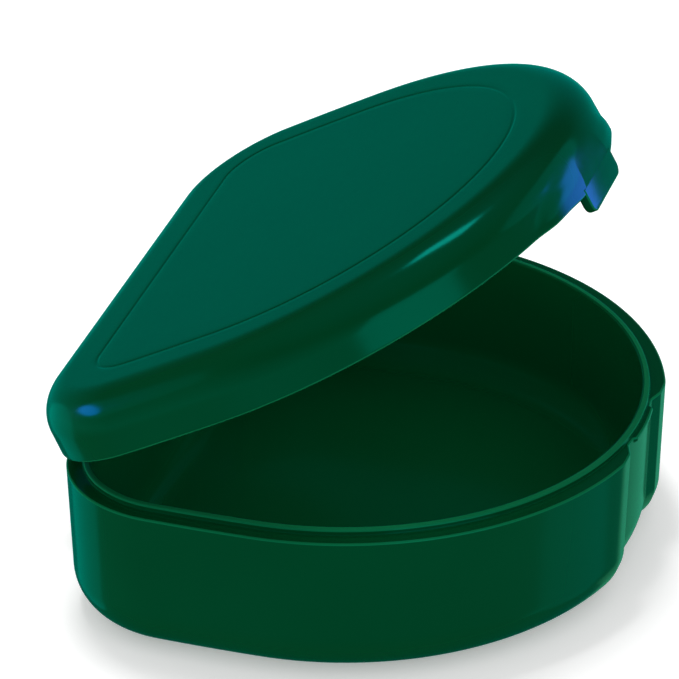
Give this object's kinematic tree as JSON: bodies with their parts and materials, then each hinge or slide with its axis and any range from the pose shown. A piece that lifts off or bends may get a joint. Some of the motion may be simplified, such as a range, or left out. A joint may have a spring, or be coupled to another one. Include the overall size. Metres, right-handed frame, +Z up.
{
  "type": "hinged mouthguard case",
  "caption": "Hinged plastic storage case for a mouthguard: deep D-shaped base with a stepped rim, shallow lid with a front snap tab, and a hinge pin.",
  "frame": {"origin": "centre of the base's underside, midway between the front of the body and its flat back, on the surface the case stands on", "axes": "+Z up, +X along the hinge, -Y towards the latch at the front, +Y towards the hinge at the back"},
  "size_m": [0.0828, 0.0753, 0.0606],
  "materials": {
    "base_plastic": "glossy dark green moulded polypropylene",
    "lid_plastic": "glossy dark green moulded polypropylene",
    "pin_steel": "drawn stainless wire"
  },
  "bodies": {
    "base": {"base_shell": "base_plastic", "hinge_pin": "pin_steel"},
    "lid": {"lid_shell": "lid_plastic"}
  },
  "joints": [
    {"name": "lid_hinge", "type": "hinge", "parent": "base", "child": "lid", "pos_m": [0, 0.03868, 0.02062], "axis": [-1, 0, 0], "range_deg": [-28.1, 150]}
  ]
}
